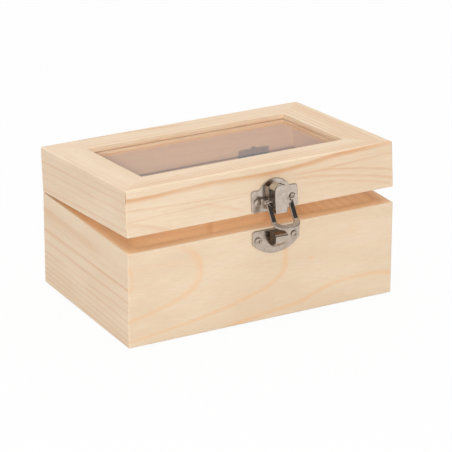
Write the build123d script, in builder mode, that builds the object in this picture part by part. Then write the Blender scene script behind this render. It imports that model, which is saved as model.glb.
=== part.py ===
from build123d import *
from math import atan2, cos, degrees, radians, sin, sqrt
import os

os.makedirs("parts", exist_ok=True)

# A small pine display box with a glazed, hinged lid and a toggle latch.
# Millimetres. X runs to the right, Y to the back and Z up.
# The origin is the centre of the underside, so the front face is at y = -box_depth / 2.
# The lid's pieces are drawn shut and then swung open about the hinge pins by ajar_angle.

# Carcass
box_width = 160.0
box_depth = 102.6
base_height = 52.6
lid_height = 25.3
wall = 7.0
rim_gap = 0.3  # between the two rims when the lid is shut
ajar_angle = 4.7  # how far the lid stands open
corner_radius = 0.9  # upright outer corners
arris_radius = 0.85  # outer edges of the top
rim_arris = 0.5  # outer edges of the two rims
foot_arris = 0.7  # outer edge of the underside

# Bottom panel, let into a rebate in the four boards
panel_thickness = 4.0
rebate_depth = 3.5
panel_play = 0.2

# Lid rails and the pane in their grooves
rail_width = 19.4
back_rail_width = 18.0
rail_thickness = 6.4
window_arris = 0.6
glass_thickness = 2.0
glass_below_top = 3.0
groove_depth = 4.0
glass_play = 0.3
glass_seat_play = 0.05

# Box hinges, wrapped over the rim of the back board
hinge_inset = 32.8  # from the end of the box to the middle of each hinge
hinge_width = 18.8
leaf_thickness = 0.9
leaf_gap = 0.2  # between the two leaves when the lid is shut
knuckle_radius = 1.7
knuckle_clearance = 0.1  # to the back face
middle_knuckle = 8.0
knuckle_side_gap = 0.15
hinge_pin_radius = 0.8
pin_seat_play = 0.02
running_play = 0.06
tail_height = 3.2
mortise_play = 0.1
tail_ear_radius = 1.8
hinge_screw_drop = 2.5  # from the rim to the screw

# Small wood screws
screw_shank_play = 0.02
hinge_screw_head = 1.3
hinge_screw_dome = 0.6
hinge_screw_shank = 0.75
hinge_screw_length = 5.2
latch_screw_head = 2.0
latch_screw_dome = 0.9
latch_screw_shank = 1.0
latch_screw_length = 5.0
slot_width = 0.5
slot_depth = 0.45
cross_length = 2.2
dome_round = 0.45

# Toggle latch. Heights are above the lid's lower edge, outs are proud of the front face
latch_centre = 6.5  # right of the middle of the box
plate_thickness = 0.9
plate_edge_round = 0.35
plate_half_width = 14.0
plate_bottom = 0.3
ear_top = 12.6
dome_half_width = 9.0
dome_top = 17.8
ear_corner = 1.9
notch_round = 0.8
plate_screw_spacing = 21.4
plate_screw_height = 6.0
lever_half_width = 3.7
lever_play = 0.15
lug_thickness = 0.7
window_top = 15.4
lever_pin_out = 3.4
lever_pin_height = 2.9
lever_pin_radius = 0.8
lug_radius = 1.8
cheek_bottom = 8.0
cheek_top = 14.0
cheek_out = 2.6
cheek_round = 0.5
lever_sheet = 0.8
lever_out = 8.2
lever_bottom = 0.4
lever_crease = 10.0
lever_top = 16.4
lever_lean = 0.6  # how much further out the tab's tip is
flange_top = 12.8
flange_back = 1.3
flange_heel = 2.1
lever_edge_round = 0.7

# Bail, a stamped loop on a pin through the lever
bail_pin_out = 5.2
bail_pin_height = 6.8
bail_pin_radius = 0.7
bail_pin_head = 1.1
bail_pin_head_length = 0.8
bail_side_gap = 0.15
bail_half_width = 8.0
bail_strip = 3.05
bail_neck = 1.3  # of the strip that reaches the pin
bail_shoulder = 3.6  # below the pin, where the strip has its full width
bail_sheet = 1.0
bail_knuckle = 1.25
bail_edge_round = 0.45
bail_leg = 11.7
bail_lip = 6.4
bail_lip_bend = 38.0
bail_bend_radius = 1.6
bail_bar = 3.3
bail_outer_corner = 5.6
bail_inner_corner = 3.2
bail_hang = 29.3  # how far the loop hangs out from the lid's own upright

# Strike plate with its hook. Drops are below the rim of the base
strike_centre = 7.0  # right of the middle of the box
strike_half_width = 14.3
strike_top = 0.8
strike_side_bottom = 8.0
strike_bottom = 14.9
strike_corner = 1.8
strike_screw_spacing = 21.8
strike_screw_drop = 6.3
hook_half_width = 3.7
hook_sheet = 0.8
hook_out = 7.2
hook_top = 2.7
hook_shoulder = 6.8
hook_rise = 0.55  # of the turned-in end towards the plate
hook_root = 11.2
hook_mouth = 1.3  # between the plate and the hook's turned-in end
hook_bend = 0.9
hook_shoulder_round = 2.5
hook_root_round = 1.5
hook_round_centre = 8.2
hook_slit = 0.2
hook_slit_top = 2.0
hook_slit_centre = 7.0

half_width = box_width / 2
half_depth = box_depth / 2
hinge_offset = half_width - hinge_inset
lid_bottom = base_height + rim_gap
lid_top = lid_bottom + lid_height
far = 2 * box_width  # longer than anything that is cut

# Hinge pins lie just behind the back face, level with the middle of the rim gap
hinge_y = half_depth + knuckle_clearance + knuckle_radius
hinge_z = base_height + rim_gap / 2
hinge_axis = Axis((0, hinge_y, hinge_z), (1, 0, 0))

# Planes on the front face, drawn in X and height and facing out of the box
lid_face = Plane(origin=(latch_centre, -half_depth, lid_bottom), x_dir=(1, 0, 0), z_dir=(0, -1, 0))
base_face = Plane(origin=(strike_centre, -half_depth, base_height), x_dir=(1, 0, 0), z_dir=(0, -1, 0))

# Side planes through the middle of the latch and of the strike, drawn in out and height
lid_side = Plane(origin=(latch_centre, -half_depth, lid_bottom), x_dir=(0, -1, 0), z_dir=(-1, 0, 0))
base_side = Plane(origin=(strike_centre, -half_depth, base_height), x_dir=(0, -1, 0), z_dir=(-1, 0, 0))


def swing_open(piece):
    # The lid stands ajar about its hinge pins
    return piece.rotate(hinge_axis, -ajar_angle)


def save(builder, name):
    builder.part.label = name
    export_step(builder.part, f"parts/{name}.step")


# The area of one side of the box in plan, cut off at the two mitres
def mitre_area(side, depth):
    if side in ("front", "back"):
        sign = -1 if side == "front" else 1
        return [
            (-half_width - depth, sign * (half_depth + depth)),
            (half_width + depth, sign * (half_depth + depth)),
            (half_width - depth, sign * (half_depth - depth)),
            (-half_width + depth, sign * (half_depth - depth)),
        ]
    sign = -1 if side == "left" else 1
    return [
        (sign * (half_width + depth), -half_depth - depth),
        (sign * (half_width + depth), half_depth + depth),
        (sign * (half_width - depth), half_depth - depth),
        (sign * (half_width - depth), -half_depth + depth),
    ]


def keep_side(side, depth):
    # Keeps one mitred board of the ring that is being built
    with BuildSketch(Plane.XY) as area:
        Polygon(*mitre_area(side, depth), align=None)
    extrude(area.sketch, amount=far, mode=Mode.INTERSECT)


def drill_front(plane, spacing, height, radius, depth):
    # Pilot holes for a plate's two screws, bored in from the front face
    with BuildSketch(plane) as holes:
        with Locations((-spacing / 2, height), (spacing / 2, height)):
            Circle(radius)
    extrude(holes.sketch, amount=-depth, mode=Mode.SUBTRACT)


def cut_hinge_seats(rim, leaf_face, screw_z):
    # Mortises for both hinge leaves between the rim and the leaf's face, and their pilot holes
    for centre in (-hinge_offset, hinge_offset):
        low = min(rim, leaf_face)
        high = max(rim, leaf_face)
        with BuildSketch(Plane.XY.offset(low)) as mortise:
            with Locations((centre, half_depth)):
                Rectangle(hinge_width + 2 * mortise_play, 4 * wall)
        extrude(mortise.sketch, amount=high - low, mode=Mode.SUBTRACT)
        with BuildSketch(Plane.XZ.offset(-(half_depth - wall))) as pilot:
            with Locations((centre, screw_z)):
                Circle(hinge_screw_shank + screw_shank_play)
        extrude(pilot.sketch, amount=-(hinge_screw_length + screw_shank_play), mode=Mode.SUBTRACT)


# Ring that the four base boards are mitred from
def base_ring():
    with BuildPart() as ring:
        with BuildSketch(Plane.XY):
            RectangleRounded(box_width, box_depth, corner_radius)
            Rectangle(box_width - 2 * wall, box_depth - 2 * wall, mode=Mode.SUBTRACT)
        extrude(amount=base_height)
        rim = ring.faces().sort_by(Axis.Z)[-1].outer_wire()
        foot = ring.faces().sort_by(Axis.Z)[0].outer_wire()
        fillet(rim.edges(), rim_arris)
        fillet(foot.edges(), foot_arris)
        with BuildSketch(Plane.XY):
            Rectangle(box_width - 2 * wall + 2 * rebate_depth, box_depth - 2 * wall + 2 * rebate_depth)
        extrude(amount=panel_thickness, mode=Mode.SUBTRACT)
    return ring.part


base_blank = base_ring()
base_mitre = wall + rim_gap

with BuildPart() as base_front_board:
    add(base_blank)
    keep_side("front", base_mitre)
    drill_front(
        base_face,
        strike_screw_spacing,
        -strike_screw_drop,
        latch_screw_shank + screw_shank_play,
        latch_screw_length + screw_shank_play,
    )

with BuildPart() as base_back_board:
    add(base_blank)
    keep_side("back", base_mitre)
    cut_hinge_seats(base_height, hinge_z - leaf_gap / 2 - leaf_thickness, base_height - hinge_screw_drop)

with BuildPart() as base_left_board:
    add(base_blank)
    keep_side("left", base_mitre)

with BuildPart() as base_right_board:
    add(base_blank)
    keep_side("right", base_mitre)

with BuildPart() as base_bottom_panel:
    with BuildSketch(Plane.XY):
        Rectangle(
            box_width - 2 * wall + 2 * rebate_depth - 2 * panel_play,
            box_depth - 2 * wall + 2 * rebate_depth - 2 * panel_play,
        )
    extrude(amount=panel_thickness)

save(base_front_board, "base_front_board")
save(base_back_board, "base_back_board")
save(base_left_board, "base_left_board")
save(base_right_board, "base_right_board")
save(base_bottom_panel, "base_bottom_panel")

# Ring that the four lid rails are mitred from: an L-shaped moulding with a groove for the pane
window_width = box_width - 2 * rail_width
window_depth = box_depth - rail_width - back_rail_width
window_centre = (rail_width - back_rail_width) / 2
glass_top = lid_top - glass_below_top
glass_bottom = glass_top - glass_thickness


def lid_ring():
    with BuildPart() as ring:
        with BuildSketch(Plane.XY.offset(lid_bottom)):
            RectangleRounded(box_width, box_depth, corner_radius)
        extrude(amount=lid_height)
        top = ring.faces().sort_by(Axis.Z)[-1].outer_wire()
        rim = ring.faces().sort_by(Axis.Z)[0].outer_wire()
        fillet(top.edges(), arris_radius)
        fillet(rim.edges(), rim_arris)
        with BuildSketch(Plane.XY.offset(lid_bottom)):
            Rectangle(box_width - 2 * wall, box_depth - 2 * wall)
        extrude(amount=lid_height - rail_thickness, mode=Mode.SUBTRACT)
        with BuildSketch(Plane.XY.offset(lid_bottom)):
            with Locations((0, window_centre)):
                Rectangle(window_width, window_depth)
        extrude(amount=lid_height, mode=Mode.SUBTRACT)
        inner = ring.faces().sort_by(Axis.Z)[-1].inner_wires()[0]
        fillet(inner.edges(), window_arris)
        with BuildSketch(Plane.XY.offset(glass_bottom - glass_seat_play)):
            with Locations((0, window_centre)):
                Rectangle(window_width + 2 * groove_depth, window_depth + 2 * groove_depth)
        extrude(amount=glass_thickness + 2 * glass_seat_play, mode=Mode.SUBTRACT)
    return ring.part


lid_blank = lid_ring()
lid_mitre = rail_width + rim_gap

with BuildPart() as lid_front_rail:
    add(lid_blank)
    keep_side("front", lid_mitre)
    drill_front(
        lid_face,
        plate_screw_spacing,
        plate_screw_height,
        latch_screw_shank + screw_shank_play,
        latch_screw_length + screw_shank_play,
    )

with BuildPart() as lid_back_rail:
    add(lid_blank)
    keep_side("back", lid_mitre)
    cut_hinge_seats(lid_bottom, hinge_z + leaf_gap / 2 + leaf_thickness, lid_bottom + hinge_screw_drop)

with BuildPart() as lid_left_rail:
    add(lid_blank)
    keep_side("left", lid_mitre)

with BuildPart() as lid_right_rail:
    add(lid_blank)
    keep_side("right", lid_mitre)

with BuildPart() as glass_pane:
    with BuildSketch(Plane.XY.offset(glass_bottom)):
        with Locations((0, window_centre)):
            Rectangle(
                window_width + 2 * groove_depth - 2 * glass_play,
                window_depth + 2 * groove_depth - 2 * glass_play,
            )
    extrude(amount=glass_thickness)

lid_front_rail.part = swing_open(lid_front_rail.part)
lid_back_rail.part = swing_open(lid_back_rail.part)
lid_left_rail.part = swing_open(lid_left_rail.part)
lid_right_rail.part = swing_open(lid_right_rail.part)
glass_pane.part = swing_open(glass_pane.part)
save(lid_front_rail, "lid_front_rail")
save(lid_back_rail, "lid_back_rail")
save(lid_left_rail, "lid_left_rail")
save(lid_right_rail, "lid_right_rail")
save(glass_pane, "glass_pane")


# One hinge leaf: a flat strip over the rim, a tail down the inner face and its knuckles.
# way is -1 for the base leaf, which lies below the pin's level, and 1 for the lid leaf
def hinge_leaf(centre, way, bore):
    rim = base_height if way < 0 else lid_bottom
    near = way * leaf_gap / 2
    far_side = way * (leaf_gap / 2 + leaf_thickness)
    inner = half_depth - wall
    tail_end = rim + way * tail_height
    screw_z = rim + way * hinge_screw_drop
    with BuildPart() as leaf:
        with BuildSketch(Plane.YZ.offset(centre)):
            with BuildLine():
                Polyline(
                    (hinge_y, hinge_z + near),
                    (inner - leaf_thickness, hinge_z + near),
                    (inner - leaf_thickness, tail_end),
                    (inner, tail_end),
                    (inner, hinge_z + far_side),
                    (hinge_y, hinge_z + far_side),
                    close=True,
                )
            make_face()
            with Locations((hinge_y, hinge_z)):
                Circle(knuckle_radius)
        extrude(amount=hinge_width / 2, both=True)
        with BuildSketch(Plane.XZ.offset(-inner)):
            with Locations((centre, screw_z)):
                Circle(tail_ear_radius)
        extrude(amount=leaf_thickness)
        if way < 0:
            gaps = [(centre, middle_knuckle + 2 * knuckle_side_gap)]
        else:
            side = (hinge_width - middle_knuckle) / 2
            step = (middle_knuckle + side) / 2
            gaps = [(centre - step, side), (centre + step, side)]
        for place, width in gaps:
            with BuildSketch(Plane.XY.offset(hinge_z - 2 * knuckle_radius)):
                with Locations((place, half_depth + 2 * knuckle_radius)):
                    Rectangle(width, 4 * knuckle_radius)
            extrude(amount=4 * knuckle_radius, mode=Mode.SUBTRACT)
        with BuildSketch(Plane.YZ.offset(centre)):
            with Locations((hinge_y, hinge_z)):
                Circle(bore)
        extrude(amount=hinge_width, both=True, mode=Mode.SUBTRACT)
        with BuildSketch(Plane.XZ.offset(-inner)):
            with Locations((centre, screw_z)):
                Circle(hinge_screw_shank + screw_shank_play)
        extrude(amount=leaf_thickness, mode=Mode.SUBTRACT)
    return leaf


for side_name, hinge_x in (("left", -hinge_offset), ("right", hinge_offset)):
    base_leaf = hinge_leaf(hinge_x, -1, hinge_pin_radius + pin_seat_play)
    save(base_leaf, f"hinge_{side_name}_base_leaf")

    lid_leaf = hinge_leaf(hinge_x, 1, hinge_pin_radius + running_play)
    lid_leaf.part = swing_open(lid_leaf.part)
    save(lid_leaf, f"hinge_{side_name}_lid_leaf")

    with BuildPart() as hinge_pin:
        with BuildSketch(Plane.YZ.offset(hinge_x)):
            with Locations((hinge_y, hinge_z)):
                Circle(hinge_pin_radius)
        extrude(amount=hinge_width / 2, both=True)
    save(hinge_pin, f"hinge_{side_name}_pin")


# One domed screw standing on plane, its shank going in the other way through the sheet it holds
def screw(plane, head, dome, shank, depth, crossed):
    with BuildPart() as one:
        with BuildSketch(plane):
            Circle(head)
        extrude(amount=dome)
        fillet(one.faces().sort_by(Axis(plane.origin, plane.z_dir))[-1].edges(), dome_round)
        with BuildSketch(plane):
            Circle(shank)
        extrude(amount=-depth)
        with BuildSketch(plane.offset(dome - slot_depth)):
            if crossed:
                Rectangle(cross_length, slot_width)
                Rectangle(slot_width, cross_length)
            else:
                Rectangle(3 * head, slot_width)
        extrude(amount=dome, mode=Mode.SUBTRACT)
    return one.part


def turned_seat(x, y, z, turn):
    # A plane at a screw's seat, facing the front, its slot turned from the level
    level = radians(turn)
    return Plane(origin=(x, y, z), x_dir=(cos(level), 0, sin(level)), z_dir=(0, -1, 0))


hinge_screw_seat = half_depth - wall - leaf_thickness


def hinge_screw(x, z, turn):
    seat = turned_seat(x, hinge_screw_seat, z, turn)
    depth = leaf_thickness + hinge_screw_length
    return screw(seat, hinge_screw_head, hinge_screw_dome, hinge_screw_shank, depth, True)


base_screw_z = base_height - hinge_screw_drop
lid_screw_z = lid_bottom + hinge_screw_drop
base_pair = [hinge_screw(-hinge_offset, base_screw_z, 25), hinge_screw(hinge_offset, base_screw_z, 70)]
lid_pair = [hinge_screw(-hinge_offset, lid_screw_z, 10), hinge_screw(hinge_offset, lid_screw_z, 50)]

with BuildPart() as hinge_base_screws:
    add(base_pair)

with BuildPart() as hinge_lid_screws:
    add(lid_pair)

hinge_lid_screws.part = swing_open(hinge_lid_screws.part)
save(hinge_base_screws, "hinge_base_screws")
save(hinge_lid_screws, "hinge_lid_screws")

# Latch plate: two ears, a domed top, a window behind the lever and the lugs bent out of it
lug_inner = lever_half_width + lever_play
lug_middle = lug_inner + lug_thickness / 2

with BuildPart() as latch_plate:
    with BuildSketch(lid_face) as plate_outline:
        with BuildLine():
            Polyline(
                (-dome_half_width, ear_top),
                (-plate_half_width, ear_top),
                (-plate_half_width, plate_bottom),
                (plate_half_width, plate_bottom),
                (plate_half_width, ear_top),
                (dome_half_width, ear_top),
            )
            ThreePointArc((dome_half_width, ear_top), (0, dome_top), (-dome_half_width, ear_top))
        make_face()
        corners = plate_outline.vertices().group_by(Axis.X)
        fillet(corners[0] + corners[-1], ear_corner)
        notches = plate_outline.vertices().filter_by_position(Axis.Y, ear_top - 0.01, ear_top + 0.01)
        notches = notches.filter_by_position(Axis.X, -dome_half_width - 0.01, dome_half_width + 0.01)
        fillet(notches, notch_round)
    extrude(amount=plate_thickness)
    front_face = latch_plate.faces().sort_by(Axis.Y)[0]
    fillet(front_face.outer_wire().edges(), plate_edge_round)
    with BuildSketch(lid_face):
        with BuildLine():
            Polyline(
                (lug_inner, window_top - lug_inner),
                (lug_inner, lever_pin_height),
                (-lug_inner, lever_pin_height),
                (-lug_inner, window_top - lug_inner),
            )
            ThreePointArc(
                (-lug_inner, window_top - lug_inner),
                (0, window_top),
                (lug_inner, window_top - lug_inner),
            )
        make_face()
    extrude(amount=plate_thickness, mode=Mode.SUBTRACT)
    for way in (-1, 1):
        with BuildSketch(lid_side.offset(way * lug_middle)):
            with Locations((lever_pin_out, lever_pin_height)):
                Circle(lug_radius)
            with Locations((lever_pin_out / 2, lever_pin_height)):
                Rectangle(lever_pin_out, 2 * lug_radius)
            with Locations((lever_pin_out, lever_pin_height)):
                Circle(lever_pin_radius + pin_seat_play, mode=Mode.SUBTRACT)
        extrude(amount=lug_thickness / 2, both=True)
        with BuildSketch(lid_side.offset(way * lug_middle)) as cheek:
            with Locations((cheek_out / 2, (cheek_bottom + cheek_top) / 2)):
                Rectangle(cheek_out, cheek_top - cheek_bottom)
            outer = cheek.vertices().group_by(Axis.X)[-1]
            fillet(outer, cheek_round)
        extrude(amount=lug_thickness / 2, both=True)
    with BuildSketch(lid_face):
        with Locations(
            (-plate_screw_spacing / 2, plate_screw_height),
            (plate_screw_spacing / 2, plate_screw_height),
        ):
            Circle(latch_screw_shank + screw_shank_play)
    extrude(amount=plate_thickness, mode=Mode.SUBTRACT)


def plate_screw(x, z, turn, crossed):
    seat = turned_seat(x, -half_depth - plate_thickness, z, turn)
    depth = plate_thickness + latch_screw_length
    return screw(seat, latch_screw_head, latch_screw_dome, latch_screw_shank, depth, crossed)


plate_screw_z = lid_bottom + plate_screw_height
plate_pair = [
    plate_screw(latch_centre - plate_screw_spacing / 2, plate_screw_z, 62, False),
    plate_screw(latch_centre + plate_screw_spacing / 2, plate_screw_z, 68, False),
]

with BuildPart() as latch_plate_screws:
    add(plate_pair)

with BuildPart() as lever_pin:
    with BuildSketch(lid_side):
        with Locations((lever_pin_out, lever_pin_height)):
            Circle(lever_pin_radius)
    extrude(amount=lug_inner + lug_thickness, both=True)


# The lever's front line in the side view, leaning out above the crease
def front_out(height):
    if height <= lever_crease:
        return lever_out
    return lever_out + lever_lean * (height - lever_crease) / (lever_top - lever_crease)


# Lever: a channel with a rounded finger tab at the top, holes for its own pin and for the bail's
with BuildPart() as latch_lever:
    heel_low = lever_pin_height - flange_heel
    heel_mid = flange_heel * sin(radians(45))
    with BuildSketch(lid_side):
        with BuildLine():
            Polyline(
                (lever_pin_out, heel_low),
                (front_out(lever_bottom), lever_bottom),
                (front_out(lever_crease), lever_crease),
                (front_out(lever_top), lever_top),
                (front_out(lever_top) - lever_sheet, lever_top),
                (front_out(flange_top) - lever_sheet, flange_top),
                (flange_back, flange_top),
                (lever_pin_out - flange_heel, lever_pin_height),
            )
            ThreePointArc(
                (lever_pin_out - flange_heel, lever_pin_height),
                (lever_pin_out - heel_mid, lever_pin_height - heel_mid),
                (lever_pin_out, heel_low),
            )
        make_face()
    extrude(amount=lever_half_width, both=True)
    with BuildSketch(lid_face):
        with BuildLine():
            Polyline(
                (lever_half_width, lever_top - lever_half_width),
                (lever_half_width, -lever_half_width),
                (-lever_half_width, -lever_half_width),
                (-lever_half_width, lever_top - lever_half_width),
            )
            ThreePointArc(
                (-lever_half_width, lever_top - lever_half_width),
                (0, lever_top),
                (lever_half_width, lever_top - lever_half_width),
            )
        make_face()
    extrude(amount=far, mode=Mode.INTERSECT)
    outer_faces = latch_lever.faces().filter_by(lambda face: face.normal_at().Y < -0.9)
    rim_edges = [
        edge
        for edge in outer_faces.edges()
        if sum(edge.is_same(other) for face in outer_faces for other in face.edges()) == 1
        and edge.center().Z > lid_bottom + lever_bottom + 0.1
    ]
    fillet(rim_edges, lever_edge_round)
    with BuildSketch(lid_side):
        Polygon(
            (-far, lever_bottom - lever_sheet),
            (front_out(lever_bottom) - lever_sheet, lever_bottom - lever_sheet),
            (front_out(lever_crease) - lever_sheet, lever_crease),
            (front_out(lever_top) - lever_sheet, lever_top),
            (-far, lever_top),
            align=None,
        )
    extrude(amount=lever_half_width - lever_sheet, both=True, mode=Mode.SUBTRACT)
    with BuildSketch(lid_side):
        with Locations((lever_pin_out, lever_pin_height)):
            Circle(lever_pin_radius + running_play)
        with Locations((bail_pin_out, bail_pin_height)):
            Circle(bail_pin_radius + running_play)
    extrude(amount=far, both=True, mode=Mode.SUBTRACT)

# Pin through the lever, with a head outside each of the bail's knuckles
with BuildPart() as bail_pin:
    head_seat = bail_half_width + bail_side_gap
    with BuildSketch(lid_side):
        with Locations((bail_pin_out, bail_pin_height)):
            Circle(bail_pin_radius)
    extrude(amount=head_seat, both=True)
    for way in (-1, 1):
        with BuildSketch(lid_side.offset(way * (head_seat + bail_pin_head_length / 2))):
            with Locations((bail_pin_out, bail_pin_height)):
                Circle(bail_pin_head)
        extrude(amount=bail_pin_head_length / 2, both=True)
    ends = bail_pin.faces().sort_by(Axis.X)
    fillet(ends[0].edges() + ends[-1].edges(), bail_pin_head_length / 2)

# Bail, drawn hanging straight down from its pin and then swung out
bail_axis = Axis((0, -half_depth - bail_pin_out, lid_bottom + bail_pin_height), (1, 0, 0))
bail_side = Plane(
    origin=(latch_centre, -half_depth - bail_pin_out, lid_bottom + bail_pin_height),
    x_dir=(0, -1, 0),
    z_dir=(-1, 0, 0),
)
lip_run = bail_lip * sin(radians(bail_lip_bend))
lip_drop = bail_lip * cos(radians(bail_lip_bend))
bail_inner = bail_half_width - bail_strip
neck_inner = bail_half_width - bail_neck
bail_face = Plane(origin=bail_side.origin, x_dir=(1, 0, 0), z_dir=(0, -1, 0))
lip_plane = Plane(
    origin=bail_side.from_local_coords((0, -bail_leg, 0)),
    x_dir=(1, 0, 0),
    z_dir=(0, -cos(radians(bail_lip_bend)), sin(radians(bail_lip_bend))),
)

with BuildPart() as latch_bail:
    with BuildSketch(bail_side):
        with BuildLine():
            FilletPolyline((0, 0), (0, -bail_leg), (lip_run, -bail_leg - lip_drop), radius=bail_bend_radius)
        trace(line_width=bail_sheet)
    extrude(amount=bail_half_width, both=True)
    lip_edges = latch_bail.edges().filter_by(Axis(lip_plane.origin, lip_plane.z_dir))
    far_corners = lip_edges.sort_by(Axis(lip_plane.origin, lip_plane.y_dir))[0:2]
    fillet(far_corners, bail_outer_corner)
    with BuildSketch(bail_face):
        Rectangle(2 * bail_inner, 2 * (bail_leg - bail_bend_radius))
    extrude(amount=bail_leg, both=True, mode=Mode.SUBTRACT)
    with BuildSketch(lip_plane) as lip_hole:
        with Locations((0, -(bail_lip - bail_bar) / 2 + bail_bend_radius)):
            Rectangle(2 * bail_inner, bail_lip - bail_bar + 2 * bail_bend_radius)
        fillet(lip_hole.vertices().group_by(Axis.Y)[0], bail_inner_corner)
    extrude(amount=2 * bail_sheet, both=True, mode=Mode.SUBTRACT)
    with BuildSketch(bail_face):
        with BuildLine():
            Polyline(
                (bail_inner, -bail_shoulder),
                (bail_inner, bail_leg),
                (neck_inner, bail_leg),
                (neck_inner, neck_inner - bail_inner - bail_shoulder),
            )
            CenterArc((neck_inner, -bail_shoulder), neck_inner - bail_inner, 90, 90)
        make_face()
        mirror(about=Plane.YZ)
    extrude(amount=bail_leg, both=True, mode=Mode.SUBTRACT)
    fillet(latch_bail.edges(), bail_edge_round)
    for way in (-1, 1):
        with BuildSketch(bail_side.offset(way * (bail_half_width - bail_neck / 2))):
            Circle(bail_knuckle)
        extrude(amount=bail_neck / 2, both=True)
    with BuildSketch(bail_side):
        Circle(bail_pin_radius + running_play)
    extrude(amount=far, both=True, mode=Mode.SUBTRACT)

latch_bail.part = latch_bail.part.rotate(bail_axis, -bail_hang)

latch_plate.part = swing_open(latch_plate.part)
latch_plate_screws.part = swing_open(latch_plate_screws.part)
lever_pin.part = swing_open(lever_pin.part)
latch_lever.part = swing_open(latch_lever.part)
bail_pin.part = swing_open(bail_pin.part)
latch_bail.part = swing_open(latch_bail.part)
save(latch_plate, "latch_plate")
save(latch_plate_screws, "latch_plate_screws")
save(lever_pin, "lever_pin")
save(latch_lever, "latch_lever")
save(bail_pin, "bail_pin")
save(latch_bail, "latch_bail")

# Strike plate: a straight top, a bowed foot and a tongue pressed out into a hook
with BuildPart() as strike_plate:
    with BuildSketch(base_face) as strike_outline:
        with BuildLine():
            Polyline(
                (-strike_half_width, -strike_side_bottom),
                (-strike_half_width, -strike_top),
                (strike_half_width, -strike_top),
                (strike_half_width, -strike_side_bottom),
            )
            ThreePointArc(
                (strike_half_width, -strike_side_bottom),
                (0, -strike_bottom),
                (-strike_half_width, -strike_side_bottom),
            )
        make_face()
        fillet(strike_outline.vertices(), strike_corner)
    extrude(amount=plate_thickness)
    front_face = strike_plate.faces().sort_by(Axis.Y)[0]
    fillet(front_face.outer_wire().edges(), plate_edge_round)
    slit_half = hook_half_width + hook_slit
    with BuildSketch(base_face):
        with BuildLine():
            Polyline(
                (slit_half, -hook_slit_centre),
                (slit_half, -hook_slit_top),
                (-slit_half, -hook_slit_top),
                (-slit_half, -hook_slit_centre),
            )
            ThreePointArc(
                (-slit_half, -hook_slit_centre),
                (0, -hook_slit_centre - slit_half),
                (slit_half, -hook_slit_centre),
            )
        make_face()
        with Locations(
            (-strike_screw_spacing / 2, -strike_screw_drop),
            (strike_screw_spacing / 2, -strike_screw_drop),
        ):
            Circle(latch_screw_shank + screw_shank_play)
    extrude(amount=plate_thickness, mode=Mode.SUBTRACT)

# The tongue by itself, so that only it is trimmed to a rounded root
with BuildPart() as hook_tongue:
    middle = plate_thickness - hook_sheet / 2
    with BuildSketch(base_side):
        with BuildLine():
            FilletPolyline(
                (middle, -strike_bottom + hook_sheet),
                (middle, -hook_root),
                (hook_out - hook_sheet / 2, -hook_shoulder),
                (hook_out - hook_sheet / 2, -hook_top - hook_sheet / 2),
                (plate_thickness + hook_mouth, -hook_top - hook_sheet / 2 + hook_rise),
                radius=[hook_root_round, hook_shoulder_round, hook_bend],
            )
        trace(line_width=hook_sheet)
    extrude(amount=hook_half_width, both=True)
    with BuildSketch(base_face):
        with BuildLine():
            Polyline(
                (hook_half_width, -hook_round_centre),
                (hook_half_width, 0),
                (-hook_half_width, 0),
                (-hook_half_width, -hook_round_centre),
            )
            ThreePointArc(
                (-hook_half_width, -hook_round_centre),
                (0, -hook_round_centre - hook_half_width),
                (hook_half_width, -hook_round_centre),
            )
        make_face()
    extrude(amount=far, mode=Mode.INTERSECT)

with BuildPart() as strike_plate_whole:
    add(strike_plate.part)
    add(hook_tongue.part)

strike_screw_z = base_height - strike_screw_drop
strike_pair = [
    plate_screw(strike_centre - strike_screw_spacing / 2, strike_screw_z, 20, True),
    plate_screw(strike_centre + strike_screw_spacing / 2, strike_screw_z, 35, True),
]

with BuildPart() as strike_plate_screws:
    add(strike_pair)

save(strike_plate_whole, "strike_plate")
save(strike_plate_screws, "strike_plate_screws")
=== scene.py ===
import math

import bpy
from mathutils import Matrix, Vector

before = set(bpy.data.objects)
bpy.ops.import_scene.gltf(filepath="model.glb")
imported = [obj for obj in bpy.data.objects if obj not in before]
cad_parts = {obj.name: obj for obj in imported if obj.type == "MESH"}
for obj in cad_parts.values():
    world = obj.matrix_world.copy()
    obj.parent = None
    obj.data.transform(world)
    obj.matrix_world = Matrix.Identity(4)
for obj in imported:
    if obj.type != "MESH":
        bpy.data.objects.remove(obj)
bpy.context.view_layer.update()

print("frame loaded:", len(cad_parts), "pieces")

# The box in millimetres, as the frame has it
box = {
    "halfWidth": 80.0,
    "halfDepth": 51.3,
    "baseTop": 52.6,
    "lidTop": 78.2,  # of the lid when it is shut
    "hingeY": 53.1,
    "hingeZ": 52.75,
    "ajar": 4.7,  # degrees that the lid stands open
}
white = (1.0, 1.0, 1.0, 1.0)


def srgb(red, green, blue):
    # a colour as read off a screen, 0 to 255, made linear
    parts = []
    for value in (red, green, blue):
        share = value / 255
        parts.append(share / 12.92 if share <= 0.04045 else ((share + 0.055) / 1.055) ** 2.4)
    return (*parts, 1.0)


# Node helpers: a value is either a number or the socket of another node
def put(tree, socket, value):
    if isinstance(value, bpy.types.NodeSocket):
        tree.links.new(value, socket)
    elif value is not None:
        socket.default_value = value


def calc(tree, operation, first, second=None, third=None, clamp=False):
    node = tree.nodes.new("ShaderNodeMath")
    node.operation = operation
    node.use_clamp = clamp
    for socket, value in zip(node.inputs, (first, second, third)):
        put(tree, socket, value)
    return node.outputs[0]


def step(tree, value, low, high, bottom=0.0, top=1.0):
    # smooth step from bottom to top while value goes from low to high
    node = tree.nodes.new("ShaderNodeMapRange")
    node.interpolation_type = "SMOOTHSTEP"
    put(tree, node.inputs["Value"], value)
    put(tree, node.inputs["From Min"], low)
    put(tree, node.inputs["From Max"], high)
    put(tree, node.inputs["To Min"], bottom)
    put(tree, node.inputs["To Max"], top)
    return node.outputs["Result"]


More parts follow.
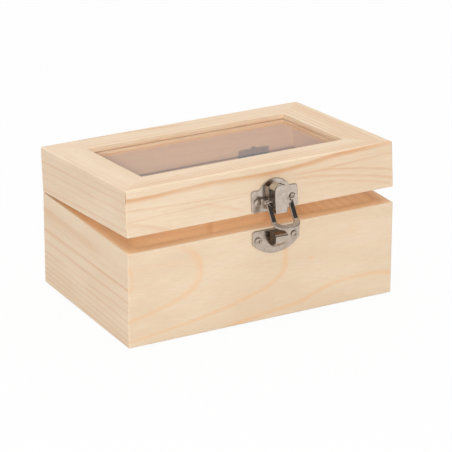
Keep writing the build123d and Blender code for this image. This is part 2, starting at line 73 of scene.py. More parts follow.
def dot(tree, vector, weights):
    node = tree.nodes.new("ShaderNodeVectorMath")
    node.operation = "DOT_PRODUCT"
    put(tree, node.inputs[0], vector)
    node.inputs[1].default_value = weights
    return node.outputs["Value"]


def scaled(tree, vector, factors):
    node = tree.nodes.new("ShaderNodeVectorMath")
    node.operation = "MULTIPLY"
    put(tree, node.inputs[0], vector)
    node.inputs[1].default_value = factors
    return node.outputs["Vector"]


def noise(tree, vector, scale, detail=2.0, rough=0.5, twist=0.0):
    node = tree.nodes.new("ShaderNodeTexNoise")
    put(tree, node.inputs["Vector"], vector)
    node.inputs["Scale"].default_value = scale
    node.inputs["Detail"].default_value = detail
    node.inputs["Roughness"].default_value = rough
    node.inputs["Distortion"].default_value = twist
    return node.outputs["Fac"]


def blendColours(tree, share, first, second):
    # first where the share is 0, second where it is 1
    node = tree.nodes.new("ShaderNodeMix")
    node.data_type = "RGBA"
    node.blend_type = "MIX"
    put(tree, node.inputs["Factor"], share)
    put(tree, node.inputs["A"], first)
    put(tree, node.inputs["B"], second)
    return node.outputs["Result"]


def blendShaders(tree, share, first, second, target):
    # first where the share is 0, second where it is 1
    node = tree.nodes.new("ShaderNodeMixShader")
    put(tree, node.inputs["Fac"], share)
    tree.links.new(first, node.inputs[1])
    tree.links.new(second, node.inputs[2])
    tree.links.new(node.outputs["Shader"], target)


def newMaterial(name):
    material = bpy.data.materials.new(name)
    material.use_nodes = True
    tree = material.node_tree
    tree.nodes.clear()
    surface = tree.nodes.new("ShaderNodeBsdfPrincipled")
    output = tree.nodes.new("ShaderNodeOutputMaterial")
    tree.links.new(surface.outputs["BSDF"], output.inputs["Surface"])
    return material, tree, surface


def addBump(tree, surface, height, strength, depth):
    # raises the surface by depth, in metres, where height is 1
    node = tree.nodes.new("ShaderNodeBump")
    node.inputs["Strength"].default_value = strength
    node.inputs["Distance"].default_value = depth
    put(tree, node.inputs["Height"], height)
    tree.links.new(node.outputs["Normal"], surface.inputs["Normal"])


def seenRays(tree):
    # 1 for what is seen, straight, in a mirror or through the glass, and 0 for what only brings light
    path = tree.nodes.new("ShaderNodeLightPath")
    seen = calc(tree, "MAXIMUM", path.outputs["Is Camera Ray"], path.outputs["Is Glossy Ray"])
    return calc(tree, "MAXIMUM", seen, path.outputs["Is Transmission Ray"])


def placeInBox(tree, onLid):
    # Object coordinates in millimetres; on the lid they are turned back to where it is shut
    coords = tree.nodes.new("ShaderNodeTexCoord")
    mapping = tree.nodes.new("ShaderNodeMapping")
    mapping.vector_type = "POINT"
    mapping.inputs["Scale"].default_value = (1000, 1000, 1000)
    if onLid:
        ajar = math.radians(box["ajar"])
        turn = Matrix.Rotation(ajar, 3, "X")
        hinge = Vector((0, box["hingeY"], box["hingeZ"]))
        mapping.inputs["Rotation"].default_value = (ajar, 0, 0)
        mapping.inputs["Location"].default_value = hinge - turn @ hinge
    tree.links.new(coords.outputs["Object"], mapping.inputs["Vector"])
    return mapping.outputs["Vector"]


def lineCurve(tree, along, points, span=(-100.0, 100.0), reach=(-70.0, 30.0)):
    # smooth curve through the points, each a place along the board and the height of the line there
    node = tree.nodes.new("ShaderNodeFloatCurve")
    curve = node.mapping.curves[0]
    wide = span[1] - span[0]
    tall = reach[1] - reach[0]
    scaledPoints = [((x - span[0]) / wide, (y - reach[0]) / tall) for x, y in sorted(points)]
    while len(curve.points) < len(scaledPoints):
        curve.points.new(0.5, 0.5)
    for point, (x, y) in zip(curve.points, scaledPoints):
        point.location = (x, y)
    node.mapping.extend = "EXTRAPOLATED"
    node.mapping.update()
    share = calc(tree, "MULTIPLY_ADD", along, 1 / wide, -span[0] / wide)
    put(tree, node.inputs["Value"], share)
    return calc(tree, "MULTIPLY_ADD", node.outputs["Value"], tall, reach[0])


def ringProfile(tree, distance, width):
    # latewood: deepens slowly over the width on its minus side and ends over half of it on the plus side
    share = calc(tree, "DIVIDE", distance, width)
    rise = step(tree, share, -1.0, 0.0)
    fall = step(tree, share, 0.0, 0.5, 1.0, 0.0)
    return calc(tree, "MULTIPLY", rise, fall)


def grainLine(tree, along, across, line):
    # a line's distance is across minus its curve; it fades out beyond its first and last point
    height = lineCurve(tree, along, line["points"])
    distance = calc(tree, "SUBTRACT", across, height)
    if line.get("flip"):
        distance = calc(tree, "MULTIPLY", distance, -1.0)
    mark = ringProfile(tree, distance, line["width"])
    first = min(x for x, _ in line["points"])
    last = max(x for x, _ in line["points"])
    fade = line.get("fade", 6.0)
    start = step(tree, along, first - fade, first + fade)
    end = step(tree, along, last - fade, last + fade, 1.0, 0.0)
    shown = calc(tree, "MULTIPLY", start, end)
    return calc(tree, "MULTIPLY", calc(tree, "MULTIPLY", mark, shown), line["strength"])


# What all arcs share
arcs = {
    "sides": 0.7,  # width of an arc's long sides, as a share of its own width; its apex has 1 more
    "fadeUp": 20.0,  # above its centre, where it has faded
    "fadeOver": 8.0,
    "faded": 0.25,  # share of its strength that is left there
}


def grainArc(tree, along, across, arc):
    # a cathedral arc: along = apex - (|across - centre| / spread) ^ power, its distance taken square to
    # the arc; above its centre the spread can be wider, and it is broadest at its apex
    power = arc["power"]
    offset = calc(tree, "SUBTRACT", across, arc["centre"])
    below = calc(tree, "DIVIDE", calc(tree, "MULTIPLY", offset, -1.0), arc["spread"])
    above = calc(tree, "DIVIDE", offset, arc.get("spreadUp", arc["spread"]))
    rise = calc(tree, "MAXIMUM", below, above)
    back = calc(tree, "POWER", rise, power)
    slope = calc(tree, "MULTIPLY", calc(tree, "POWER", rise, power - 1), power / arc["spread"])
    square = calc(tree, "SQRT", calc(tree, "MULTIPLY_ADD", slope, slope, 1.0))
    ahead = calc(tree, "SUBTRACT", calc(tree, "ADD", along, back), arc["apex"])
    distance = calc(tree, "DIVIDE", ahead, square)
    level = calc(tree, "DIVIDE", 1.0, square)
    width = calc(tree, "MULTIPLY_ADD", level, arc["width"], arcs["sides"] * arc["width"])
    mark = ringProfile(tree, distance, width)
    fadeUp = arc.get("fadeUp", arcs["fadeUp"])
    fade = step(tree, offset, fadeUp - arcs["fadeOver"], fadeUp, 1.0, arcs["faded"])
    return calc(tree, "MULTIPLY", calc(tree, "MULTIPLY", mark, fade), arc["strength"])


def darkSpot(tree, along, across, spot):
    # a soft ellipse: the strength falls from its core to its edge with the root of (x / half width) ^ 2
    # + (y / half height) ^ 2
    x = calc(tree, "DIVIDE", calc(tree, "SUBTRACT", along, spot["at"][0]), spot["size"][0])
    y = calc(tree, "DIVIDE", calc(tree, "SUBTRACT", across, spot["at"][1]), spot["size"][1])
    reach = calc(tree, "SQRT", calc(tree, "MULTIPLY_ADD", x, x, calc(tree, "MULTIPLY", y, y)))
    return step(tree, reach, spot.get("core", 0.2), 1.0, spot["strength"], 0.0)


pine = {
    "pale": srgb(237, 217, 191),
    "warm": srgb(232, 209, 181),
    # painted warm light: the inner faces, lighter and warmer than the outside, for the shade in the box
    "inside": srgb(253, 220, 181),
    # painted light: the window's edge, lighter still, for the shade in its recess
    "windowEdge": srgb(252, 234, 208),
    "rim": srgb(253, 208, 160),  # painted warm light on the base's rim, as if lit by the warm inside
    "line": srgb(218, 165, 118),
    "streak": srgb(176, 122, 78),
    "crack": srgb(122, 92, 70),
    "shade": srgb(84, 64, 50),  # painted shade behind the hook, and right through the board to its inner face
    "wall": 7.0,  # from the outer face to the inside
    "windowFrom": 17.7,  # from the outer face to just before the window's edge
    "fibres": 0.26,  # strength of the fine fibres
    "streaks": 0.30,
    "rough": (0.58, 0.46),  # between the fibres and on them
    "specular": 0.35,
    "bump": 0.12,
    "bumpDepth": 0.0002,
}

# Noises in the wood: how fast each changes along, across and into the board, per millimetre
grain = {
    "wander": {"scale": (0.012, 0.05, 0.05), "detail": 2.0},
    "flutter": {"scale": (0.05, 0.3, 0.3), "detail": 1.0},
    "patches": {"scale": (0.03, 0.12, 0.12), "detail": 3.0},
    "fibres": {"scale": (0.16, 3.2, 3.2), "detail": 3.0, "rough": 0.6},
    "clouds": {"scale": (0.02, 0.06, 0.06), "detail": 2.0},
    "streaks": {"scale": (0.35, 2.4, 2.4), "detail": 1.0},
    "sway": 0.9,  # millimetres that the flutter moves a line
    "lean": -0.3,  # depth that the noises gain with the height
    "apart": 37.0,  # depth between the noises of two boards, for each 1 of their seeds
}

# Grain of each board, in millimetres: along it from the middle of the box, then across it from its outer
# top edge, minus down the outer face and plus over the top
boards = {
    "base_front_board": {
        "face": "front",
        "line": srgb(242, 187, 124),  # these lines are yellower than the others
        "rings": {"gap": 9.0, "strength": 0.05, "tilt": 0.02, "bend": 5.0},
        "arcs": [
            {"apex": -77.5, "centre": -15.0, "spread": 5.2, "power": 2.7, "width": 1.6, "strength": 0.28},
            {"apex": -37.4, "centre": -16.7, "spread": 5.3, "spreadUp": 6.5, "fadeUp": 17.0,
             "power": 2.7, "width": 3.1, "strength": 0.34},
            {"apex": 13.9, "centre": -20.8, "spread": 5.33, "spreadUp": 11.0, "power": 2.7,
             "width": 2.5, "strength": 0.36},
        ],
        "lines": [
            {
                "points": [(-20, -51.4), (3.3, -49.5), (20, -47.5), (26.7, -45.8), (31.7, -43.3),
                           (38.3, -41.2), (46.7, -39.7), (56.7, -39.2), (66.7, -39.0), (75, -40.2),
                           (84, -42.0)],
                "width": 2.8, "strength": 0.38, "flip": True,
            },
        ],
        "spots": [
            {"at": (29.2, -22.6), "size": (3.0, 1.2), "strength": 0.35},
            {"at": (55.0, -10.5), "size": (7.0, 5.0), "strength": 0.12},
        ],
        # painted shade, where the wood behind the hook's window lies in shade
        "behindHook": {"at": (7.0, -7.4), "size": (7.0, 6.4), "core": 0.85, "strength": 0.92},
        "seed": 3.0,
    },
    "base_back_board": {
        "face": "back",
        "rings": {"gap": 6.5, "strength": 0.22, "tilt": 0.05, "bend": 6.0},
        "arcs": [
            {"apex": 20.0, "centre": -30.0, "spread": 4.8, "power": 2.5, "width": 3.0, "strength": 0.35},
            {"apex": 58.0, "centre": -27.0, "spread": 5.0, "power": 2.5, "width": 2.6, "strength": 0.3},
        ],
        "seed": 11.0,
    },
    "base_left_board": {
        "face": "left",
        "rings": {"gap": 3.4, "strength": 0.05, "tilt": 0.03, "bend": 2.0},
        "lines": [
            {"points": [(-16, -9.8), (20, -9.4), (56, -9.0)], "width": 6.0, "strength": 0.36, "fade": 14.0},
            {"points": [(-56, -14.6), (0, -15.4), (56, -13.2)], "width": 1.8, "strength": 0.16},
            {"points": [(-56, -19.6), (0, -20.2), (56, -20.8)], "width": 2.2, "strength": 0.44},
            {"points": [(-56, -26.8), (0, -26.9), (56, -27.4)], "width": 1.7, "strength": 0.36},
            {"points": [(-56, -32.0), (0, -33.2), (56, -33.8)], "width": 1.3, "strength": 0.30},
            {"points": [(-56, -38.0), (0, -37.0), (56, -37.2)], "width": 1.3, "strength": 0.36},
            {"points": [(-56, -42.2), (0, -40.6), (56, -40.4)], "width": 1.2, "strength": 0.32},
            {"points": [(-56, -45.6), (0, -43.8), (56, -43.4)], "width": 1.1, "strength": 0.34},
            {"points": [(-56, -49.0), (0, -47.0), (56, -46.4)], "width": 1.1, "strength": 0.32},
            {"points": [(-56, -51.8), (0, -50.0), (56, -49.2)], "width": 1.0, "strength": 0.32},
        ],
        "seed": 5.0,
    },
    "base_right_board": {
        "face": "right",
        "rings": {"gap": 4.6, "strength": 0.26, "tilt": -0.06, "bend": 3.5},
        "seed": 7.0,
    },
    "lid_front_rail": {
        "face": "front",
        "rings": {"gap": 2.9, "strength": 0.07, "tilt": 0.012, "bend": 1.6},
        "lines": [
            {
                "points": [(-84, -4.8), (-63, -5.2), (-46.7, -4.4), (-30, -3.9), (-5, -4.7), (11.7, -4.3),
                           (28, -3.0), (46.7, -1.2), (62, -0.4), (75, 0.4), (86, 1.2)],
                "width": 2.9, "strength": 0.72,
            },
            {"points": [(-84, -10.6), (-60, -11.6), (-32, -12.7), (-8, -12.9)],
             "width": 1.2, "strength": 0.30},
            {"points": [(-84, -16.8), (-60, -16.0), (-32, -15.0), (-8, -14.0)],
             "width": 1.2, "strength": 0.24},
            {"points": [(20, -8.0), (40, -8.7), (57, -10.8), (70, -13.3), (84, -16.4)],
             "width": 1.6, "strength": 0.36},
            {"points": [(20, -10.3), (37, -11.7), (53, -14.2), (70, -17.5), (84, -21.4)],
             "width": 1.6, "strength": 0.34},
            {"points": [(23, -14.2), (45, -15.8), (63, -19.2), (78, -22.6)],
             "width": 1.5, "strength": 0.28},
            {"points": [(36, -8.0), (53, -7.0), (84, -5.6)], "width": 1.4, "strength": 0.30},
            {"points": [(-84, -17.4), (-72, -19.6), (-55, -25.0)], "width": 2.6, "strength": 0.30},
            {"points": [(-34, -15.0), (-25, -17.5), (-13, -21.7)], "width": 2.2, "strength": 0.28},
            {"points": [(-84, 3.2), (0, 2.6), (84, 3.6)], "width": 0.8, "strength": 0.85},
            {"points": [(-84, 5.4), (0, 5.0), (84, 5.8)], "width": 0.8, "strength": 0.95},
            {"points": [(-84, 7.6), (-40, 7.2), (84, 7.9)], "width": 0.8, "strength": 0.90},
            {"points": [(-84, 10.4), (0, 9.8), (84, 10.2)], "width": 0.8, "strength": 0.72},
            {"points": [(-84, 13.8), (0, 13.0), (84, 12.6)], "width": 1.0, "strength": 0.16},
        ],
        "openMitre": {"low": -7.6, "width": 0.32},
        "seed": 2.0,
    },
    "lid_back_rail": {
        "face": "back",
        "rings": {"gap": 5.0, "strength": 0.10, "tilt": 0.03, "bend": 3.0},
        "lines": [
            {"points": [(-60, 1.0), (-30, 1.8), (-18, 3.2), (-8, 4.6), (4, 6.0)],
             "width": 2.2, "strength": 0.55},
            {"points": [(-30, 5.0), (10, 8.4), (50, 9.6)], "width": 2.4, "strength": 0.24},
            {"points": [(-70, 9.5), (-20, 11.0), (30, 12.5), (70, 13.0)], "width": 1.6, "strength": 0.2},
            {"points": [(-60, 14.6), (0, 15.8), (60, 15.0)], "width": 1.8, "strength": 0.26},
        ],
        "seed": 13.0,
    },
    "lid_left_rail": {
        "face": "left",
        "rings": {"gap": 3.1, "strength": 0.08, "tilt": 0.02, "bend": 1.8},
        "lines": [
            {"points": [(-56, -3.4), (0, -3.0), (56, -3.8)], "width": 1.2, "strength": 0.16},
            {"points": [(-56, -6.6), (0, -7.0), (56, -7.6)], "width": 1.4, "strength": 0.30},
            {"points": [(-56, -11.6), (0, -12.0), (56, -12.4)], "width": 1.4, "strength": 0.26},
            {"points": [(-56, -15.6), (0, -16.2), (56, -16.0)], "width": 1.2, "strength": 0.14},
            {"points": [(-56, -21.4), (0, -22.0), (56, -22.8)], "width": 2.0, "strength": 0.26},
            {"points": [(-56, 3.0), (0, 2.4), (56, 3.2)], "width": 1.2, "strength": 0.14},
            {"points": [(-56, 7.6), (0, 6.4), (56, 6.8)], "width": 1.6, "strength": 0.12},
        ],
        "spots": [{"at": (31.0, 11.5), "size": (2.2, 1.0), "strength": 0.30}],
        "openMitre": {"low": -7.6, "width": 0.32},
        "seed": 17.0,
    },
    "lid_right_rail": {
        "face": "right",
        "rings": {"gap": 3.6, "strength": 0.12, "tilt": -0.05, "bend": 2.4},
        "lines": [
            {"points": [(-56, 12.6), (-10, 9.2), (20, 8.0), (56, 6.6)], "width": 7.0, "strength": 0.2},
            {"points": [(-56, 6.4), (-10, 4.8), (20, 4.2), (56, 3.4)], "width": 1.6, "strength": 0.30},
            {"points": [(-56, 14.6), (-10, 12.0), (20, 10.8), (56, 9.8)], "width": 1.2, "strength": 0.42},
            {"points": [(-56, 17.2), (-10, 14.8), (30, 13.4), (56, 12.8)], "width": 1.2, "strength": 0.46},
            {"points": [(-30, 17.8), (10, 16.8), (56, 16.2)], "width": 1.0, "strength": 0.46},
        ],
        "seed": 19.0,
    },
}


def grainNoise(tree, space, kind):
    look = grain[kind]
    return noise(tree, scaled(tree, space, look["scale"]), 1.0, look["detail"], look.get("rough", 0.5))


def growthRings(tree, space, along, across, rings):
    # even rings: the fraction of (across + tilt x along + 2 x bend x noise) / gap, which darkens slowly
    # and ends sharply
    wander = grainNoise(tree, space, "wander")
    bent = calc(tree, "MULTIPLY_ADD", calc(tree, "SUBTRACT", wander, 0.5), 2 * rings["bend"], across)
    slanted = calc(tree, "MULTIPLY_ADD", along, rings["tilt"], bent)
    phase = calc(tree, "FRACT", calc(tree, "DIVIDE", slanted, rings["gap"]))
    late = calc(tree, "MULTIPLY", step(tree, phase, 0.25, 0.86), step(tree, phase, 0.88, 1.0, 1.0, 0.0))
    return calc(tree, "MULTIPLY", late, rings["strength"])


def openJoint(tree, place, top, joint):
    # the joint at the front left corner: dark where |x - y + half width - half depth| is less than its
    # width, from its low end to just under the top
    sideways = dot(tree, place, (1, -1, 0))
    off = calc(tree, "ABSOLUTE", calc(tree, "ADD", sideways, box["halfWidth"] - box["halfDepth"]))
    near = step(tree, off, 0.2 * joint["width"], joint["width"], 1.0, 0.0)
    height = calc(tree, "SUBTRACT", dot(tree, place, (0, 0, 1)), top)
    aboveLow = step(tree, height, joint["low"], joint["low"] + 2)
    belowTop = step(tree, height, -1.2, -0.4, 1.0, 0.0)
    return calc(tree, "MULTIPLY", near, calc(tree, "MULTIPLY", aboveLow, belowTop))


def woodMaterial(name, board):
    # pine: pale wood, darkened by growth rings, arcs and lines, with fine fibres and short streaks along it
    material, tree, surface = newMaterial(name)
    onLid = name.startswith("lid")
    place = placeInBox(tree, onLid)
    upright = dot(tree, place, (0, 0, 1))
    top = box["lidTop"] if onLid else box["baseTop"]
    runs = board["face"] in ("front", "back")
    inward = 1.0 if board["face"] in ("front", "left") else -1.0
    outer = box["halfDepth"] if runs else box["halfWidth"]

    # across = depth from the outer face + height - top, so a line runs on over the outer top edge
    along = dot(tree, place, (1, 0, 0) if runs else (0, 1, 0))
    across = calc(tree, "ADD", dot(tree, place, (0, inward, 1) if runs else (inward, 0, 1)), outer - top)
    leaning = (0, inward, grain["lean"]) if runs else (inward, 0, grain["lean"])
    deep = calc(tree, "ADD", dot(tree, place, leaning), board["seed"] * grain["apart"])
    join = tree.nodes.new("ShaderNodeCombineXYZ")
    put(tree, join.inputs["X"], along)
    put(tree, join.inputs["Y"], across)
    put(tree, join.inputs["Z"], deep)
    space = join.outputs["Vector"]

    flutter = grainNoise(tree, space, "flutter")
    shift = calc(tree, "MULTIPLY", calc(tree, "SUBTRACT", flutter, 0.5), grain["sway"])
    wavy = calc(tree, "ADD", across, shift)
    dark = growthRings(tree, space, along, wavy, board["rings"])
    marks = [grainArc(tree, along, wavy, arc) for arc in board.get("arcs", [])]
    marks += [grainLine(tree, along, wavy, line) for line in board.get("lines", [])]
    marks += [darkSpot(tree, along, wavy, spot) for spot in board.get("spots", [])]
    for mark in marks:
        dark = calc(tree, "ADD", dark, mark)
    patches = step(tree, grainNoise(tree, space, "patches"), 0.3, 0.7, 0.75, 1.15)
    dark = calc(tree, "MULTIPLY", dark, patches, clamp=True)

    depth = calc(tree, "ADD", dot(tree, place, (0, inward, 0) if runs else (inward, 0, 0)), outer)
    inner = step(tree, depth, pine["wall"] - 0.4, pine["wall"] - 0.1)
    clouds = grainNoise(tree, space, "clouds")
    outside = blendColours(tree, step(tree, clouds, 0.3, 0.7), pine["pale"], pine["warm"])
    if onLid:
        # below the top only the window's edge and the hollow lie this deep
        lower = step(tree, upright, top - 0.75, top - 0.35, 1.0, 0.0)
        inner = calc(tree, "MULTIPLY", inner, lower)
    else:
        # painted warm light on the base's top face, in from its outer edge
        atRim = step(tree, upright, top - 0.3, top - 0.1)
        onRim = calc(tree, "MULTIPLY", atRim, step(tree, depth, 0.2, 2.4))
        outside = blendColours(tree, onRim, outside, pine["rim"])
    # painted light: the window's edge is lighter than the rest of the inside
    atWindow = step(tree, depth, pine["windowFrom"], pine["windowFrom"] + 0.2)
    inside = blendColours(tree, atWindow, pine["inside"], pine["windowEdge"])
    # the inner faces take the painted light of inside
    colour = blendColours(tree, inner, outside, inside)

    fibres = grainNoise(tree, space, "fibres")
    streaks = grainNoise(tree, space, "streaks")
    fine = step(tree, fibres, 0.40, 0.78, 0.0, pine["fibres"])
    short = step(tree, streaks, 0.70, 0.82, 0.0, pine["streaks"])
    colour = blendColours(tree, dark, colour, board.get("line", pine["line"]))
    colour = blendColours(tree, fine, colour, pine["line"])
    colour = blendColours(tree, short, colour, pine["streak"])
    if "behindHook" in board:
        # painted shade in the hook's window; across grows with the depth, so inside the box this spot lies
        # lower by the wall
        paintedHookShade = darkSpot(tree, along, across, board["behindHook"])
        colour = blendColours(tree, paintedHookShade, colour, pine["shade"])
    if "openMitre" in board:
        crack = openJoint(tree, place, top, board["openMitre"])
        colour = blendColours(tree, crack, colour, pine["crack"])
    put(tree, surface.inputs["Base Color"], colour)
    put(tree, surface.inputs["Roughness"], step(tree, fibres, 0.3, 0.8, *pine["rough"]))
    surface.inputs["Specular IOR Level"].default_value = pine["specular"]
    raised = calc(tree, "MULTIPLY_ADD", dark, -0.5, fibres)
    addBump(tree, surface, raised, pine["bump"], pine["bumpDepth"])
    return material


plywood = {
    "ground": srgb(247, 214, 170),
    "band": srgb(224, 178, 126),
    "bands": 9.0,  # how many the broad noise is cut into
    "bandStrength": 0.3,
    "broad": (0.008, 0.03, 0.2),  # per millimetre
    "fine": (0.12, 2.6, 2.6),
    "fibres": 0.2,
    "rough": (0.62, 0.5),
}


def plywoodMaterial(name):
    # rotary-cut veneer: the fraction of a broad noise x the bands, drawn out along the panel
    material, tree, surface = newMaterial(name)
    place = placeInBox(tree, False)
    wander = noise(tree, scaled(tree, place, plywood["broad"]), 1.0, 3.0, 0.5, 1.5)
    bands = calc(tree, "FRACT", calc(tree, "MULTIPLY", wander, plywood["bands"]))
    late = calc(tree, "MULTIPLY", step(tree, bands, 0.2, 0.85), step(tree, bands, 0.86, 1.0, 1.0, 0.0))
    share = calc(tree, "MULTIPLY", late, plywood["bandStrength"])
    colour = blendColours(tree, share, plywood["ground"], plywood["band"])
    fibres = noise(tree, scaled(tree, place, plywood["fine"]), 1.0, 3.0)
    colour = blendColours(tree, step(tree, fibres, 0.45, 0.8, 0.0, plywood["fibres"]), colour, pine["line"])
    put(tree, surface.inputs["Base Color"], colour)
    put(tree, surface.inputs["Roughness"], step(tree, fibres, 0.3, 0.8, *plywood["rough"]))
    return material


metal = {
    "nickel": {"colour": (0.60, 0.515, 0.44, 1.0), "dull": (0.50, 0.42, 0.35, 1.0), "rough": (0.16, 0.28)},
    "strike": {"colour": (0.55, 0.46, 0.38, 1.0), "dull": (0.45, 0.37, 0.30, 1.0), "rough": (0.18, 0.30)},
    "hinge": {"colour": (0.56, 0.49, 0.43, 1.0), "dull": (0.46, 0.40, 0.35, 1.0), "rough": (0.28, 0.42)},
    "paintedSideShade": (0.10, 0.085, 0.075, 1.0),  # painted shade and dark reflection on the sides of the lever and the hook that look to the left
    "leverFrom": 50.0,  # all of the lever stands out further than this, in millimetres from the middle
    "hookFrom": 53.0,  # the hook stands out further, and the face of its plate doesn't
    "cloudScale": 0.35,
    "polishScale": (0.6, 0.6, 9.0),
    "bump": 0.06,
    "bumpDepth": 0.00008,
}


def metalMaterial(name, look, onLid, shadeSidesFrom=None):
    # plated steel: a cloudy noise dulls the colour and raises the surface, and 0.6 of it with 0.4 of fine
    # polishing marks sets the roughness
    material, tree, surface = newMaterial(name)
    place = placeInBox(tree, onLid)
    cloud = noise(tree, place, metal["cloudScale"], 3.0, 0.6)
    polish = noise(tree, scaled(tree, place, metal["polishScale"]), 1.0, 2.0)
    surface.inputs["Metallic"].default_value = 1.0
    colour = blendColours(tree, step(tree, cloud, 0.35, 0.7), look["colour"], look["dull"])
    if shadeSidesFrom is not None:
        # painted shade and dark reflection: faces that look to the left and stand out this far are dark, in
        # ragged patches
        geometry = tree.nodes.new("ShaderNodeNewGeometry")
        facing = step(tree, dot(tree, geometry.outputs["True Normal"], (-1, 0, 0)), 0.75, 0.95)
        outside = step(tree, dot(tree, place, (0, -1, 0)), shadeSidesFrom, shadeSidesFrom + 0.4)
        ragged = step(tree, noise(tree, place, 0.8, 3.0, 0.6), 0.32, 0.55, 0.55, 0.95)
        share = calc(tree, "MULTIPLY", calc(tree, "MULTIPLY", facing, outside), ragged)
        colour = blendColours(tree, share, colour, metal["paintedSideShade"])
    put(tree, surface.inputs["Base Color"], colour)
    mixed = calc(tree, "ADD", calc(tree, "MULTIPLY", cloud, 0.6), calc(tree, "MULTIPLY", polish, 0.4))
    put(tree, surface.inputs["Roughness"], step(tree, mixed, 0.3, 0.7, *look["rough"]))
    addBump(tree, surface, cloud, metal["bump"], metal["bumpDepth"])
    return material


glass = {
    "tint": (0.99, 0.985, 0.98, 1.0),
    "bend": 1.5,  # index of refraction
    "rough": (0.01, 0.02),
    "smearScale": 0.03,
}


def glassMaterial(name):
    # clear pane, smeared by a broad noise in its roughness: it mirrors and bends what is seen, while light
    # passes straight through it into the box
    material, tree, surface = newMaterial(name)
    place = placeInBox(tree, True)
    smear = noise(tree, place, glass["smearScale"], 2.0)
    surface.inputs["Base Color"].default_value = glass["tint"]
    surface.inputs["Transmission Weight"].default_value = 1.0
    surface.inputs["IOR"].default_value = glass["bend"]
    put(tree, surface.inputs["Roughness"], step(tree, smear, 0.3, 0.7, *glass["rough"]))
    through = tree.nodes.new("ShaderNodeBsdfTransparent")
    through.inputs["Color"].default_value = white
    path = tree.nodes.new("ShaderNodeLightPath")
    lit = calc(tree, "MAXIMUM", path.outputs["Is Shadow Ray"], path.outputs["Is Diffuse Ray"])
    target = tree.nodes["Material Output"].inputs["Surface"]
    blendShaders(tree, lit, surface.outputs["BSDF"], through.outputs["BSDF"], target)
    return material


def dress(material, *nodes):
    for node in nodes:
        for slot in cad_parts[node].material_slots:
            slot.material = material


for node, board in boards.items():
    dress(woodMaterial(node + "_pine", board), node)
dress(plywoodMaterial("bottomPlywood"), "base_bottom_panel")
dress(glassMaterial("windowGlass"), "glass_pane")
lidNickel = metalMaterial("lidNickel", metal["nickel"], True)
leverNickel = metalMaterial("leverNickel", metal["nickel"], True, metal["leverFrom"])
baseNickel = metalMaterial("baseNickel", metal["strike"], False, metal["hookFrom"])
lidHingeSteel = metalMaterial("lidHingeSteel", metal["hinge"], True)
baseHingeSteel = metalMaterial("baseHingeSteel", metal["hinge"], False)
dress(lidNickel, "latch_plate", "latch_plate_screws", "lever_pin", "bail_pin", "latch_bail")
dress(leverNickel, "latch_lever")
dress(baseNickel, "strike_plate", "strike_plate_screws")
dress(lidHingeSteel, "hinge_left_lid_leaf", "hinge_right_lid_leaf", "hinge_lid_screws")
dress(baseHingeSteel, "hinge_left_base_leaf", "hinge_right_base_leaf")
dress(baseHingeSteel, "hinge_left_pin", "hinge_right_pin", "hinge_base_screws")
print("pieces dressed")

paper = {
    "halfSize": 6.0,
    "height": -0.0003,  # just under the box
    "colour": (0.76, 0.76, 0.76, 1.0),
    "rough": 0.9,
    "glow": 0.94,  # share of the seen floor that is plain white; the rest takes the shadow
}


def makeFloor():
    # a wide level sheet
    mesh = bpy.data.meshes.new("floor")
    half = paper["halfSize"]
    corners = [(x * half, y * half, paper["height"]) for x, y in ((-1, -1), (1, -1), (1, 1), (-1, 1))]
    mesh.from_pydata(corners, [], [(0, 1, 2, 3)])
    floor = bpy.data.objects.new("floor", mesh)
    bpy.context.collection.objects.link(floor)
    material, tree, surface = newMaterial("floorPaper")
    surface.inputs["Base Color"].default_value = paper["colour"]
    surface.inputs["Roughness"].default_value = paper["rough"]
    surface.inputs["Specular IOR Level"].default_value = 0.0
    glow = tree.nodes.new("ShaderNodeEmission")
    glow.inputs["Color"].default_value = white
    share = calc(tree, "MULTIPLY", seenRays(tree), paper["glow"])
    target = tree.nodes["Material Output"].inputs["Surface"]
    blendShaders(tree, share, surface.outputs["BSDF"], glow.outputs["Emission"], target)
    mesh.materials.append(material)


tent = {
    "horizon": 0.42,  # strength of its light at the floor's level
    "zenith": 3.45,
    "focus": 8.0,  # how closely the extra light keeps to the zenith
    "lean": 0.13,  # how much stronger it is to the back left
    "leanTo": (-0.7, 0.7, 0.0),
}

# What is mirrored: colours from straight down (0) over the horizon (0.5) to straight up (1), and a white
# panel at the upper left, which grows in between two values of the direction's dot product with panelTo
mirrored = {
    "stops": [
        (0.0, (1.0, 1.0, 1.0)),
        (0.52, (1.0, 1.0, 1.0)),
        (0.59, (0.49, 0.53, 0.56)),
        (0.66, (0.26, 0.30, 0.33)),
        (0.72, (0.045, 0.042, 0.038)),
        (0.86, (0.045, 0.042, 0.038)),
        (0.92, (0.9, 0.9, 0.9)),
        (1.0, (1.0, 1.0, 1.0)),
    ],
    "panel": (0.84, 0.94),
    "panelTo": (-0.6, -0.5, 0.62),
}


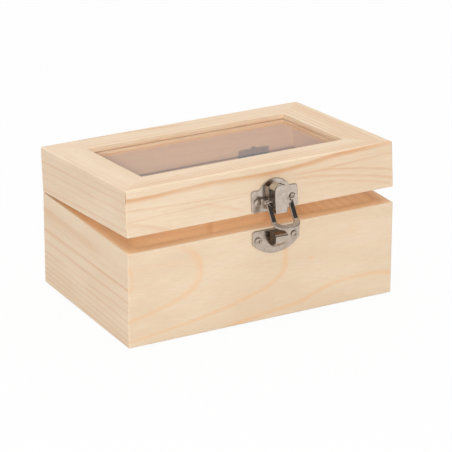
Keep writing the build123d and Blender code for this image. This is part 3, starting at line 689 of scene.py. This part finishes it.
def makeWorld():
    # a tent of light: horizon + (zenith - horizon) x height ^ focus + lean x (direction . leanTo); the
    # rays that see it get the colours of mirrored instead
    world = bpy.data.worlds.new("studio")
    bpy.context.scene.world = world
    world.use_nodes = True
    tree = world.node_tree
    tree.nodes.clear()
    output = tree.nodes.new("ShaderNodeOutputWorld")
    lighting = tree.nodes.new("ShaderNodeBackground")
    lighting.inputs["Color"].default_value = white
    shown = tree.nodes.new("ShaderNodeBackground")
    direction = tree.nodes.new("ShaderNodeTexCoord").outputs["Generated"]
    height = dot(tree, direction, (0, 0, 1))
    raised = calc(tree, "POWER", calc(tree, "MAXIMUM", height, 0.0), tent["focus"])
    even = calc(tree, "MULTIPLY_ADD", raised, tent["zenith"] - tent["horizon"], tent["horizon"])
    leaning = dot(tree, direction, tent["leanTo"])
    put(tree, lighting.inputs["Strength"], calc(tree, "MULTIPLY_ADD", leaning, tent["lean"], even))
    ramp = tree.nodes.new("ShaderNodeValToRGB")
    while len(ramp.color_ramp.elements) < len(mirrored["stops"]):
        ramp.color_ramp.elements.new(0.5)
    for element, (place, colour) in zip(ramp.color_ramp.elements, mirrored["stops"]):
        element.position = place
        element.color = (*colour, 1.0)
    put(tree, ramp.inputs["Fac"], calc(tree, "MULTIPLY_ADD", height, 0.5, 0.5))
    panel = step(tree, dot(tree, direction, mirrored["panelTo"]), *mirrored["panel"])
    put(tree, shown.inputs["Color"], blendColours(tree, panel, ramp.outputs["Color"], white))
    target = output.inputs["Surface"]
    blendShaders(tree, seenRays(tree), lighting.outputs["Background"], shown.outputs["Background"], target)


keyLamp = {
    "power": 10.2,
    "place": (-0.756, -1.39, 0.663),  # beside the camera
    "aim": (0.0, 0.0, 0.04),
    "size": 0.12,
    "colour": (1.0, 0.97, 0.93),
}


def makeLamp():
    data = bpy.data.lights.new("keyLamp", "AREA")
    data.energy = keyLamp["power"]
    data.size = keyLamp["size"]
    data.color = keyLamp["colour"]
    lamp = bpy.data.objects.new("keyLamp", data)
    lamp.location = keyLamp["place"]
    lamp.visible_glossy = False  # the metal mirrors the tent instead
    towards = Vector(keyLamp["aim"]) - Vector(keyLamp["place"])
    lamp.rotation_euler = towards.to_track_quat("-Z", "Y").to_euler()
    bpy.context.collection.objects.link(lamp)


cameraView = {
    "place": (-0.64966, -1.19506, 0.57564),
    "azimuth": -28.7294,
    "elevation": 21.6455,
    "roll": 0.1788,
    "lens": 214.62,  # millimetres, on a sensor this wide
    "sensor": 36.0,
    "near": 0.05,
    "far": 60.0,
}


def makeCamera():
    data = bpy.data.cameras.new("camera")
    data.lens = cameraView["lens"]
    data.sensor_width = cameraView["sensor"]
    data.clip_start = cameraView["near"]
    data.clip_end = cameraView["far"]
    camera = bpy.data.objects.new("camera", data)
    azimuth = math.radians(cameraView["azimuth"])
    elevation = math.radians(cameraView["elevation"])
    roll = math.radians(cameraView["roll"])
    level = math.cos(elevation)
    back = Vector((math.sin(azimuth) * level, -math.cos(azimuth) * level, math.sin(elevation)))
    right = back.cross(Vector((0, 0, -1))).normalized()
    upward = back.cross(right)
    turnedRight = right * math.cos(roll) + upward * math.sin(roll)
    turnedUp = upward * math.cos(roll) - right * math.sin(roll)
    turn = Matrix((turnedRight, turnedUp, back)).transposed().to_4x4()
    camera.matrix_world = Matrix.Translation(cameraView["place"]) @ turn
    bpy.context.collection.objects.link(camera)
    bpy.context.scene.camera = camera


makeFloor()
makeWorld()
makeLamp()
makeCamera()
bpy.context.scene.view_settings.view_transform = "Standard"
print("studio ready")
